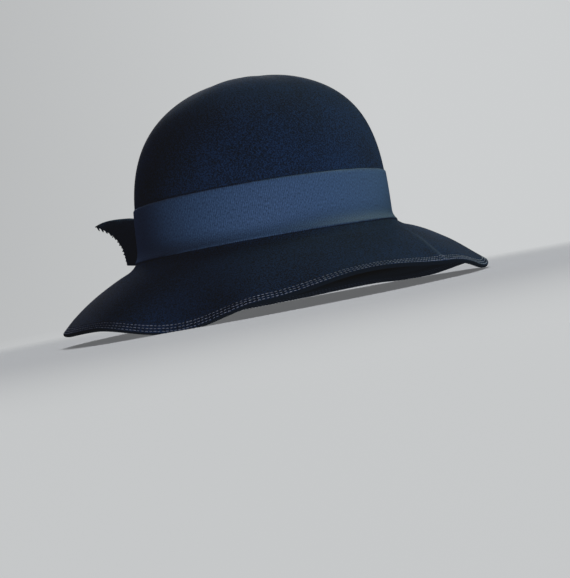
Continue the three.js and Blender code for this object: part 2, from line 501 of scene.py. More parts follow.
@dataclass(frozen=True)
class Finish(ABC):
    """A surface that is named for its real material."""

    name: str

    @abstractmethod
    def surface(self, tree: NodeTree) -> dict[str, object]:
        """Adds the nodes of the surface's pattern to a tree and returns the shader's inputs."""

    def material(self) -> Material:
        """Makes the material, a shader that shows the surface's pattern.

        Returns:
            The new material.
        """
        made = bpy.data.materials.new(self.name)
        made.use_nodes = True
        tree = made.node_tree
        tree.nodes.clear()
        shader = add_node(tree, "ShaderNodeBsdfPrincipled", self.surface(tree))
        add_node(tree, "ShaderNodeOutputMaterial", {"Surface": shader})
        return made


@dataclass(frozen=True)
class FeltFinish(Finish):
    """Fur felt, blocked and gone over with a brush: matted fibres that swallow light, mottled where tufts of
    nap stand up.

    A single fibre is too fine to show, so fibres are drawn as coarse as bundles. The inside and underside
    carry painted shade, and the crease in the brim a painted highlight.
    """

    name: str = "fur_felt_brushed"
    ground: str = "#040e1a"
    nap: str = "#153058"
    # Painted highlight along the crest of the crease in the brim, flecked by the fibres.
    rubbed: str = "#3c4c66"
    sheen: str = "#5f7ba8"
    tuft: float = 1.0 * MM
    fibre: float = 0.45 * MM
    handling: float = 45.0 * MM
    handling_share: float = 0.25
    sparse_nap: float = 0.96
    full_nap: float = 1.34
    relief: float = 0.16 * MM

    def surface(self, tree: NodeTree) -> dict[str, object]:
        """Speckles nap over a dark ground on the outside, leaves the dark ground as painted shade on the
        inside and underside, and paints a paler highlight along the brim's crease.

        Args:
            tree: the material's tree.

        Returns:
            The shader's inputs.
        """
        place = add_node(tree, "ShaderNodeTexCoord").outputs["Object"]
        tufts = add_node(tree, "ShaderNodeTexNoise",
                         {"Vector": place, "Scale": 1 / self.tuft, "Detail": 2.0, "Roughness": 0.6})
        fibres = add_node(tree, "ShaderNodeTexNoise",
                          {"Vector": place, "Scale": 1 / self.fibre, "Detail": 3.0, "Distortion": 0.6})
        handled = add_node(tree, "ShaderNodeTexNoise",
                           {"Vector": place, "Scale": 1 / self.handling, "Detail": 2.0})
        both = add_node(tree, "ShaderNodeMath",
                        {0: tufts.outputs["Fac"], 1: fibres.outputs["Fac"]}, operation="ADD")
        patchy = add_node(tree, "ShaderNodeMath",
                          {0: handled.outputs["Fac"], 1: self.handling_share, 2: both},
                          operation="MULTIPLY_ADD")
        speckle = add_node(tree, "ShaderNodeMapRange",
                           {"Value": patchy, "From Min": self.sparse_nap, "From Max": self.full_nap},
                           interpolation_type="SMOOTHSTEP")
        # Nap shows only where this mask is 1, on the outside; the inside and underside keep the dark ground
        # as painted shade.
        brushed = add_node(tree, "ShaderNodeAttribute", attribute_name="brushed")
        raised = add_node(tree, "ShaderNodeMath",
                          {0: brushed.outputs["Fac"], 1: speckle}, operation="MULTIPLY")
        napped = add_node(tree, "ShaderNodeMix",
                          {0: raised, 6: linear(self.ground), 7: linear(self.nap)}, data_type="RGBA")
        # Painted highlight: the felt is paled towards this colour along the crease, flecked by the fibres.
        rubbed = add_node(tree, "ShaderNodeAttribute", attribute_name="rubbed")
        highlight_share = add_node(tree, "ShaderNodeMath",
                        {0: rubbed.outputs["Fac"], 1: fibres.outputs["Fac"]}, operation="MULTIPLY")
        colour = add_node(tree, "ShaderNodeMix",
                          {0: highlight_share, 6: napped.outputs[2], 7: linear(self.rubbed)}, data_type="RGBA")
        bump = add_node(tree, "ShaderNodeBump", {"Strength": 0.55, "Distance": self.relief, "Height": both})
        return {"Base Color": colour.outputs[2], "Normal": bump, "Roughness": 0.95,
                "Specular IOR Level": 0.04, "Sheen Weight": 0.01, "Sheen Roughness": 0.5,
                "Sheen Tint": linear(self.sheen)}


@dataclass(frozen=True)
class GrosgrainFinish(Finish):
    """Viscose grosgrain: fine cords side by side under a tight warp, with a low shine and painted shade in
    the furrows.

    The warp's threads are too fine to show, so they are drawn a little coarser than real.
    """

    name: str = "viscose_grosgrain"
    # Painted shade in the furrows between the cords.
    furrow: str = "#131f37"
    cord: str = "#41618e"
    pitch: float = CORD_PITCH
    furrow_wave: float = 3.2
    cord_wave: float = -0.6
    warp: float = 0.42 * MM
    slub_along: float = 0.7 * MM
    slub_across: float = 1.4 * MM
    slub_span: Span = (0.3, 0.7)
    slub_dark: float = 0.32
    slub_bright: float = 1.12
    relief: float = 0.05 * MM

    def surface(self, tree: NodeTree) -> dict[str, object]:
        """Draws cords with painted shade in their furrows, slubs and warp, from the measures along and across
        that the ribbon carries.

        Args:
            tree: the material's tree.

        Returns:
            The shader's inputs.
        """
        along, across = (add_node(tree, "ShaderNodeAttribute", attribute_name=label).outputs["Fac"]
                         for label in ("along", "across"))
        turn = add_node(tree, "ShaderNodeMath", {0: along, 1: math.tau / self.pitch}, operation="MULTIPLY")
        wave = add_node(tree, "ShaderNodeMath", {0: turn}, operation="COSINE")
        ridge = add_node(tree, "ShaderNodeMapRange",
                         {"Value": wave, "From Min": self.furrow_wave, "From Max": self.cord_wave},
                         interpolation_type="SMOOTHSTEP")
        place = add_node(tree, "ShaderNodeCombineXYZ", {"X": along, "Y": across})
        weave = add_node(tree, "ShaderNodeVectorMath",
                         {0: place, 1: (self.slub_along, self.slub_across, 1.0)}, operation="DIVIDE")
        slubs = add_node(tree, "ShaderNodeTexNoise",
                         {"Vector": weave, "Scale": 1.0, "Detail": 3.0, "Roughness": 0.6},
                         noise_dimensions="2D")
        low, high = self.slub_span
        bright = add_node(tree, "ShaderNodeMapRange",
                          {"Value": slubs.outputs["Fac"], "From Min": low, "From Max": high,
                           "To Min": self.slub_dark, "To Max": self.slub_bright})
        # Mixes towards the furrow colour as painted shade between the cords; the slubs vary the tone at
        # random.
        lit = add_node(tree, "ShaderNodeMath", {0: ridge, 1: bright}, operation="MULTIPLY")
        colour = add_node(tree, "ShaderNodeMix",
                          {0: lit, 6: linear(self.furrow), 7: linear(self.cord)}, data_type="RGBA")
        warp_turn = add_node(tree, "ShaderNodeMath",
                             {0: across, 1: math.tau / self.warp}, operation="MULTIPLY")
        warps = add_node(tree, "ShaderNodeMath", {0: warp_turn}, operation="SINE")
        bump = add_node(tree, "ShaderNodeBump", {"Strength": 0.4, "Distance": self.relief, "Height": warps})
        return {"Base Color": colour.outputs[2], "Normal": bump, "Roughness": 0.62,
                "Specular IOR Level": 0.12}


@dataclass(frozen=True)
class ThreadFinish(Finish):
    """Spun polyester thread: a soft grey-blue twist, a little paler and shinier than the felt it is sewn in.

    The twist is too fine to show, so it is drawn as pale and dark flecks.
    """

    name: str = "polyester_thread"
    shade: str = "#48516a"
    light: str = "#8891ab"
    twist: float = 0.5 * MM

    def surface(self, tree: NodeTree) -> dict[str, object]:
        """Draws the flecks.

        Args:
            tree: the material's tree.

        Returns:
            The shader's inputs.
        """
        place = add_node(tree, "ShaderNodeTexCoord").outputs["Object"]
        flecks = add_node(tree, "ShaderNodeTexNoise",
                          {"Vector": place, "Scale": 1 / self.twist, "Detail": 2.0})
        colour = add_node(tree, "ShaderNodeMix",
                          {0: flecks.outputs["Fac"], 6: linear(self.shade), 7: linear(self.light)},
                          data_type="RGBA")
        return {"Base Color": colour.outputs[2], "Roughness": 0.7, "Specular IOR Level": 0.25}


@dataclass(frozen=True)
class PaperFinish(Finish):
    """Seamless backdrop paper: matt near the hat, and further off a painted glow of pale grey in place of
    lamplight.

    The painted glow dims softly away from the viewer's right.
    """

    name: str = "backdrop_paper"
    floor: str = "#d2d3d4"
    glow: str = "#cccecf"
    glow_start: float = 0.2
    glow_end: float = 0.7
    bright_azimuth: float = math.radians(118)
    dim_start: float = 0.3
    dim_end: float = -0.9
    dim_share: float = 0.74

    def surface(self, tree: NodeTree) -> dict[str, object]:
        """Turns paper that takes shadows into a painted glow of pale grey further off.

        Args:
            tree: the material's tree.

        Returns:
            The shader's inputs.
        """
        place = add_node(tree, "ShaderNodeTexCoord").outputs["Object"]
        away = add_node(tree, "ShaderNodeVectorMath", {0: place}, operation="LENGTH")
        lit = add_node(tree, "ShaderNodeMapRange",
                       {"Value": away.outputs["Value"], "From Min": self.glow_start,
                        "From Max": self.glow_end}, interpolation_type="SMOOTHSTEP")
        aside = add_node(tree, "ShaderNodeVectorMath",
                         {0: place, 1: direction(self.bright_azimuth, 0.0)}, operation="DOT_PRODUCT")
        dimmed = add_node(tree, "ShaderNodeMapRange",
                          {"Value": aside.outputs["Value"], "From Min": self.dim_end,
                           "From Max": self.dim_start, "To Min": self.dim_share})
        # Painted glow, dimmer away from the viewer's right, in place of light falling on the paper.
        strength = add_node(tree, "ShaderNodeMath", {0: lit, 1: dimmed}, operation="MULTIPLY")
        colour = add_node(tree, "ShaderNodeMix",
                          {0: lit, 6: linear(self.floor), 7: linear("#000000")}, data_type="RGBA")
        return {"Base Color": colour.outputs[2], "Roughness": 1.0, "Specular IOR Level": 0.0,
                "Emission Color": linear(self.glow), "Emission Strength": strength}


@dataclass(frozen=True)
class Finishes:
    """The materials of the hat, made once."""

    felt: Material
    grosgrain: Material
    thread: Material
    # A darker copy of the thread for the underside: painted shade.
    shaded_thread: Material


# Sub-assemblies

class SubAssembly(ABC):
    """A group of pieces that are made and dressed together."""

    @abstractmethod
    def build(self) -> list[Piece]:
        """Makes the pieces, dresses them and returns them."""


class HandWave(NamedTuple):
    """A slow wave that blocking by hand leaves: its share, waves round the hat, turn per stage and start."""

    share: float
    around: int
    per_stage: float
    start: float


class SectionRows(NamedTuple):
    """How many rows of mesh each part of the hat's section has."""

    dome: int
    wall: int
    bend: int
    brim: int
    hem: int


@dataclass
class FeltHood(SubAssembly):
    """Crown and brim, blocked from one felt hood, with a folded and sewn edge. Spans are in stages."""

    form: HatForm
    finishes: Finishes
    wall: float = 2.2 * MM
    hem_width: float = 9.0 * MM
    hem_step: float = 1.2 * MM
    seam_rows: tuple[float, ...] = (1.6 * MM, 3.5 * MM, 5.4 * MM)
    furrow_depth: float = 0.3 * MM
    furrow_width: float = 0.5 * MM
    unevenness: float = 0.35 * MM
    hand_waves: tuple[HandWave, ...] = (
        HandWave(0.5, 3, -2.3, 0.7 + HALF_PI), HandWave(0.5, 3, 2.3, 1.5 - HALF_PI),
        HandWave(0.6, 5, 1.9, -0.7), HandWave(0.4, 9, -3.1, 2.0))
    crown_start: Span = (0.0, 0.3)
    crown_end: Span = (0.8, 0.98)
    brim_start: Span = (3.05, 3.35)
    brim_end: Span = (3.8, 3.95)
    hem_calm: float = 0.7
    crease_height: float = 0.8 * MM
    crease_width: float = 1.5 * MM
    crease_edge: float = math.radians(75.7)
    crease_swing: float = math.radians(16)
    crease_bow: float = 1.6
    crease_reach: float = 0.95
    crease_start: Span = (2.8, 3.3)
    crease_rise: Span = (3.15, 3.8)
    crease_inner_share: float = 0.3
    crease_margins: Span = (0.08, 0.06)
    fine_hem: float = 9.6 * MM
    columns: int = 330
    crease_columns: int = 96
    outer_rows: SectionRows = SectionRows(dome=46, wall=10, bend=16, brim=28, hem=24)
    inner_rows: SectionRows = SectionRows(dome=24, wall=5, bend=9, brim=18, hem=22)
    edge_rows: int = 7

    def azimuths(self) -> Array:
        """Spreads the mesh's columns, closer together round the crease in the brim.

        Returns:
            The columns' azimuths.
        """
        before, after = self.crease_margins
        low, high = self.crease_edge - before, self.crease_edge + self.crease_swing + after
        close = np.linspace(low, high, self.crease_columns, endpoint=False)
        wide = np.linspace(high, low + math.tau, self.columns, endpoint=False)
        around = np.concatenate([close, wide])
        return np.where(around > math.pi, around - math.tau, around)

    def stages(self, rows: SectionRows) -> Array:
        """Lists the stages of the mesh's rows, closer together in the sewn hem.

        Args:
            rows: number of rows in each part of the section.

        Returns:
            A column of stages from 0, left out, to 4.
        """
        hem = float(self.form.stage_from_edge(0.0, self.fine_hem))
        stops = (0, 1, 2, 3, hem, 4)
        return column(*(np.linspace(start, end, count + 1)[1:]
                        for start, end, count in zip(stops, stops[1:], rows)))

    def crease(self, azimuth: Array, stage: Array) -> Array:
        """Gives the share of a soft crease that runs slantwise over the wearer's left of the brim.

        Args:
            azimuth: azimuths of the points.
            stage: stages of the points.

        Returns:
            1 along the crease near the edge, falling to 0 beside it and weaker towards the crown.
        """
        inward = np.clip((4 - stage) / self.crease_reach, 0, 1)
        line = self.crease_edge + self.crease_swing * inward ** self.crease_bow
        aside = (azimuth - line) * self.form.half_length
        fade = lerp(self.crease_inner_share, 1.0, smooth_step(*self.crease_rise, stage))
        return bell(aside, self.crease_width) * fade * smooth_step(*self.crease_start, stage)

    def hand_work(self, azimuth: Array, stage: Array) -> Array:
        """Gives the slow unevenness that blocking by hand leaves, none of it under the band.

        Args:
            azimuth: azimuths of the points.
            stage: stages of the points.

        Returns:
            Distances outwards from the even skin.
        """
        slow = sum(wave.share * np.sin(wave.around * azimuth + wave.per_stage * stage + wave.start)
                   for wave in self.hand_waves)
        crown = smooth_step(*self.crown_start, stage) * (1 - smooth_step(*self.crown_end, stage))
        calm = self.hem_calm * smooth_step(*self.brim_end, stage)
        return self.unevenness * slow * (crown + smooth_step(*self.brim_start, stage) * (1 - calm))

    def furrow(self, distance: Array) -> Array:
        """Returns how deep the sewn rows pull the felt in, at a distance in from the edge."""
        return self.furrow_depth * sum(bell(distance - row, self.furrow_width) for row in self.seam_rows)

    def face_lift(self, azimuth: Array, stage: Array, face: Face) -> Array:
        """Works out where one face of the felt lies.

        Args:
            azimuth: azimuths of the points.
            stage: stages of the points.
            face: the outer or the inner face.

        Returns:
            Distances outwards from the even skin.
        """
        distance = (4 - stage) * self.form.brim_run(azimuth) + self.form.hem_wall / 2
        folded = 1 - smooth_step(self.hem_width - self.hem_step, self.hem_width, distance)
        wall = lerp(self.wall, self.form.hem_wall, folded)
        sewn = np.where(stage > 3, self.furrow(distance), 0.0)
        ridge = self.crease_height * self.crease(azimuth, stage)
        pull = sewn if face is Face.UNDER else -sewn
        return self.hand_work(azimuth, stage) + ridge + pull - face.value * wall

    def build(self) -> list[Piece]:
        """Makes the hood's closed shell, from the top of the crown round the edge to the inside.

        Returns:
            The hood alone.
        """
        form, azimuth = self.form, self.azimuths()
        outer, inner = self.stages(self.outer_rows), self.stages(self.inner_rows)[::-1]
        half = form.hem_wall / 2
        turns = np.linspace(0, math.pi, self.edge_rows + 2)[1:-1, None]
        rows = np.concatenate([form.skin(azimuth, outer, self.face_lift(azimuth, outer, Face.TOP)),
                               form.skin(azimuth, 4.0, half * np.cos(turns) - half, half * np.sin(turns)),
                               form.skin(azimuth, inner, self.face_lift(azimuth, inner, Face.UNDER))])
        top, inside = form.skin(0.0, 0.0), form.skin(0.0, 0.0, -self.wall)
        points = np.concatenate([rows.reshape(-1, 3), [top, inside]])
        down, around = rows.shape[:2]
        faces = grid_faces(down, around, False, True)
        pole, hollow, last = down * around, down * around + 1, (down - 1) * around
        for k in range(around):
            beside = (k + 1) % around
            faces.append([pole, k, beside])
            faces.append([hollow, last + beside, last + k])
        outside = len(outer) * around
        rubbed, brushed = np.zeros(len(points)), np.zeros(len(points))
        # The crease's share is the mask of the painted highlight along it.
        rubbed[:outside] = self.crease(azimuth, outer).ravel()
        # Nap on the outside and the top of the rounded edge; the rest of the edge, the underside and the
        # inside get painted shade.
        brushed[:outside + around] = 1.0
        brushed[pole] = 1.0
        hood = add_solid("felt_hood", points, faces, {"rubbed": rubbed, "brushed": brushed})
        self.dress(hood)
        return [hood]

    def dress(self, hood: Piece) -> None:
        """Gives the hood its felt and puts it in the place of the plain solid.

        Args:
            hood: the hood's object.
        """
        hood.data.materials.append(self.finishes.felt)
        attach(hood, BODY)
        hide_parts("felt_body")


@dataclass
class EdgeStitching(SubAssembly):
    """Rows of machine stitches that hold the brim's folded edge, on both of its faces."""

    form: HatForm
    finishes: Finishes
    hood: FeltHood
    hood_piece: Piece
    stitch: float = 2.7 * MM
    thread_length: float = 1.85 * MM
    thread_radius: float = 0.25 * MM
    sink: float = 0.22 * MM
    arch: float = 0.5 * MM
    stray: float = 0.09 * MM
    arch_steps: int = 5
    thread_sides: int = 6
    path_points: int = 720
    seed: int = 11

    def tree(self) -> NodeTree:
        """Makes the tree that sews: it spaces stitches along each line and lays them on the felt.

        Returns:
            The tree, with the sizes of a stitch as its inputs.
        """
        tree, given = geometry_tree("sewn rows", {
            "Felt": "Object", "Stitches": "Int", "Length": "Float", "Radius": "Float", "Sink": "Float",
            "Arch": "Float", "Stray": "Float", "Seed": "Int", "Thread": "Material"})
        curve = add_node(tree, "GeometryNodeMeshToCurve", {"Mesh": given["Geometry"]})
        spaced = add_node(tree, "GeometryNodeResampleCurve",
                          {"Curve": curve, "Count": given["Stitches"]}, mode="COUNT")
        any_way = add_node(tree, "FunctionNodeRandomValue",
                           {0: (-1.0, -1.0, -1.0), 1: (1.0, 1.0, 1.0), "Seed": given["Seed"]},
                           data_type="FLOAT_VECTOR")
        astray = add_node(tree, "ShaderNodeVectorMath",
                          {0: any_way, "Scale": given["Stray"]}, operation="SCALE")
        placed = add_node(tree, "GeometryNodeSetPosition", {"Geometry": spaced, "Offset": astray})
        felt = add_node(tree, "GeometryNodeObjectInfo",
                        {"Object": given["Felt"]}, transform_space="RELATIVE")
        normal = add_node(tree, "GeometryNodeInputNormal")
        nearest = add_node(tree, "GeometryNodeSampleNearestSurface",
                           {"Mesh": felt.outputs["Geometry"], "Value": normal}, data_type="FLOAT_VECTOR")
        tangent = add_node(tree, "GeometryNodeInputTangent")
        along = add_node(tree, "FunctionNodeAlignRotationToVector", {"Vector": tangent}, axis="X")
        upright = add_node(tree, "FunctionNodeAlignRotationToVector",
                           {"Rotation": along, "Vector": nearest.outputs["Value"]},
                           axis="Z", pivot_axis="X")
        half = add_node(tree, "ShaderNodeMath", {0: given["Length"], 1: 0.5}, operation="MULTIPLY")
        under = add_node(tree, "ShaderNodeMath", {0: given["Sink"], 1: -1.0}, operation="MULTIPLY")
        end = add_node(tree, "ShaderNodeCombineXYZ", {"X": half, "Z": under})
        start = add_node(tree, "ShaderNodeVectorMath", {0: end, 1: (-1.0, 1.0, 1.0)}, operation="MULTIPLY")
        middle = add_node(tree, "ShaderNodeCombineXYZ", {"Z": given["Arch"]})
        arch = add_node(tree, "GeometryNodeCurveQuadraticBezier",
                        {"Resolution": self.arch_steps, "Start": start, "Middle": middle, "End": end})
        ring = add_node(tree, "GeometryNodeCurvePrimitiveCircle",
                        {"Resolution": self.thread_sides, "Radius": given["Radius"]})
        stitch = add_node(tree, "GeometryNodeCurveToMesh",
                          {"Curve": arch, "Profile Curve": ring, "Fill Caps": True})
        sewn = add_node(tree, "GeometryNodeInstanceOnPoints",
                        {"Points": placed, "Instance": stitch, "Rotation": upright})
        end_tree(tree, sewn, given["Thread"])
        return tree

    def lines(self, face: Face) -> list[Array]:
        """Draws the sewn lines on one face of the brim.

        Args:
            face: the face that they lie on.

        Returns:
            For each row, the points of a closed line.
        """
        azimuth = np.linspace(-math.pi, math.pi, self.path_points, endpoint=False)
        drawn = []
        for row in self.hood.seam_rows:
            stage = self.form.stage_from_edge(azimuth, row)
            drawn.append(self.form.skin(azimuth, stage, self.hood.face_lift(azimuth, stage, face)))
        return drawn

    def build(self) -> list[Piece]:
        """Sews both faces of the edge.

        Returns:
            The stitches on the top and those on the underside.
        """
        tree = self.tree()
        pieces = []
        # The underside's stitches use a darker copy of the same thread: painted shade.
        threads = {Face.TOP: self.finishes.thread, Face.UNDER: self.finishes.shaded_thread}
        for face, thread in threads.items():
            lines = self.lines(face)
            round_edge = run_along(np.concatenate([lines[0], lines[0][:1]]))[-1]
            piece = add_lines(f"edge_stitches_{face.name.lower()}", lines, Lines.CLOSED)
            run_tree(piece, tree, {
                "Felt": self.hood_piece, "Stitches": round(round_edge / self.stitch),
                "Length": self.thread_length, "Radius": self.thread_radius, "Sink": self.sink,
                "Arch": self.arch, "Stray": self.stray, "Seed": self.seed, "Thread": thread})
            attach(piece, BODY)
            pieces.append(piece)
        return pieces


class RibbonRun(NamedTuple):
    """A ribbon measured along its middle: its length, its cords' pitch, and the places of its mesh.

    A place has a distance along the ribbon and a station in the measure that the ribbon's shape goes by.
    """

    length: float
    pitch: float
    closed: bool
    along: Array
    station: Array


class RibbonGrid(NamedTuple):
    """A ribbon's points: loops round its thickness, one loop for each place along it.

    The arrays are indexed by place round the loop, then by place along the ribbon; the measure across may be
    one column alone.
    """

    points: Array
    outward: Array
    across: Array


@dataclass
class Grosgrain:
    """A length of grosgrain: a thin closed sheet with cords that stand up from its faces."""

    finishes: Finishes
    pitch: float = CORD_PITCH
    cord_height: float = 0.07 * MM
    steps_per_cord: int = 6

    def tree(self) -> NodeTree:
        """Makes the tree that raises a cord at each pitch along the ribbon.

        Returns:
            The tree, with the cords' pitch and height as its inputs.
        """
        found = bpy.data.node_groups.get("ribbon cords")
        if found:
            return found
        tree, given = geometry_tree("ribbon cords", {
            "Pitch": "Float", "Height": "Float", "Ribbon": "Material"})
        along = add_node(tree, "GeometryNodeInputNamedAttribute", {"Name": "along"}, data_type="FLOAT")
        outward = add_node(tree, "GeometryNodeInputNamedAttribute",
                           {"Name": "outward"}, data_type="FLOAT_VECTOR")
        cords = add_node(tree, "ShaderNodeMath", {0: along, 1: given["Pitch"]}, operation="DIVIDE")
        part = add_node(tree, "ShaderNodeMath", {0: cords}, operation="FRACT")
        aside = add_node(tree, "ShaderNodeMath", {0: part, 1: 2.0, 2: -1.0}, operation="MULTIPLY_ADD")
        square = add_node(tree, "ShaderNodeMath", {0: aside, 1: aside}, operation="MULTIPLY")
        rounded = add_node(tree, "ShaderNodeMath", {0: 1.0, 1: square}, operation="SUBTRACT")
        height = add_node(tree, "ShaderNodeMath", {0: rounded, 1: given["Height"]}, operation="MULTIPLY")
        raised = add_node(tree, "ShaderNodeVectorMath", {0: outward, "Scale": height}, operation="SCALE")
        corded = add_node(tree, "GeometryNodeSetPosition",
                          {"Geometry": given["Geometry"], "Offset": raised})
        end_tree(tree, corded, given["Ribbon"])
        return tree

    def measure(self, stations: Array, line: Array, closed: bool) -> RibbonRun:
        """Spaces a whole number of cords along a ribbon.

        Args:
            stations: closely spaced stations along the ribbon.
            line: the ribbon's middle line, a point for each station.
            closed: True if the ribbon's end joins its start.

        Returns:
            The measured ribbon.
        """
        run = run_along(line)
        cords = round(run[-1] / self.pitch)
        places = cords * self.steps_per_cord + (0 if closed else 1)
        along = np.linspace(0, run[-1], places, endpoint=not closed)
        return RibbonRun(float(run[-1]), run[-1] / cords, closed, along, np.interp(along, run, stations))

    def make(self, name: str, run: RibbonRun, grid: RibbonGrid) -> Piece:
        """Makes a ribbon piece from its grid.

        Args:
            name: the piece's name.
            run: the measured ribbon.
            grid: the ribbon's points.

        Returns:
            The corded piece.
        """
        loop, places = grid.points.shape[:2]
        faces = grid_faces(loop, places, True, run.closed)
        if not run.closed:
            first = [k * places for k in range(loop)]
            faces += [first, [k + places - 1 for k in first][::-1]]
        along, across = (np.broadcast_to(measure, (loop, places)).ravel()
                         for measure in (run.along, grid.across))
        piece = add_solid(name, grid.points.reshape(-1, 3), faces, {
            "outward": grid.outward.reshape(-1, 3), "along": along, "across": across})
        run_tree(piece, self.tree(), {"Pitch": run.pitch, "Height": self.cord_height,
                                      "Ribbon": self.finishes.grosgrain})
        return piece


def dress_ribbon(piece: Piece, node: str) -> None:
    """Puts a ribbon in the place of its plain solid.

    Args:
        piece: the ribbon.
        node: the solid that it stands for.
    """
    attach(piece, BODY)
    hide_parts(node)


@dataclass
class HatBand(SubAssembly):
    """The grosgrain band, stretched round the foot of the crown, with small loops along its selvedges."""

    form: HatForm
    ribbon: Grosgrain
    rests_on: Piece
    gap: float = 0.2 * MM
    thickness: float = 0.6 * MM
    middle_stage: float = 1.5
    bottom_stage: float = 2.5
    selvedge: float = 0.35 * MM
    selvedge_loop: float = 0.45 * MM
    flat_width: float = 36.0 * MM
    rows: int = 19
    inner_every: int = 4
    measured_steps: int = 7200

    def build(self) -> list[Piece]:
        """Makes the band.

        Returns:
            The band alone.
        """
        form, ribbon = self.form, self.ribbon
        fine = np.linspace(-math.pi, math.pi, self.measured_steps + 1)
        run = ribbon.measure(fine, form.skin(fine, self.middle_stage, self.gap + self.thickness), True)
        azimuth = run.station
        outer = np.linspace(1, self.bottom_stage, self.rows)
        inner = outer[::-self.inner_every]
        middle = self.gap + self.thickness / 2
        stage = column(outer, self.bottom_stage, inner, 1.0)
        lift = column(0 * outer + self.gap + self.thickness, middle, 0 * inner + self.gap, middle)
        face = column(0 * outer + 1, 0.0, 0 * inner, 0.0)
        edge = column(0 * outer, 1.0, 0 * inner, -1.0)
        hang = edge * self.selvedge
        points = form.skin(azimuth, stage, lift, hang)
        lifted = form.skin(azimuth, stage, lift + MM, hang) - points
        edged = form.skin(azimuth, stage, lift, hang + edge * MM) - points
        loops = np.abs(edge) * self.selvedge_loop / ribbon.cord_height
        outward = unit(lifted) * face[..., None] + unit(edged) * loops[..., None]
        down = (stage - 1) * self.flat_width / (self.bottom_stage - 1)
        band = ribbon.make("grosgrain_band", run, RibbonGrid(points, outward, down))
        dress_ribbon(band, "hat_band")
        return [band]


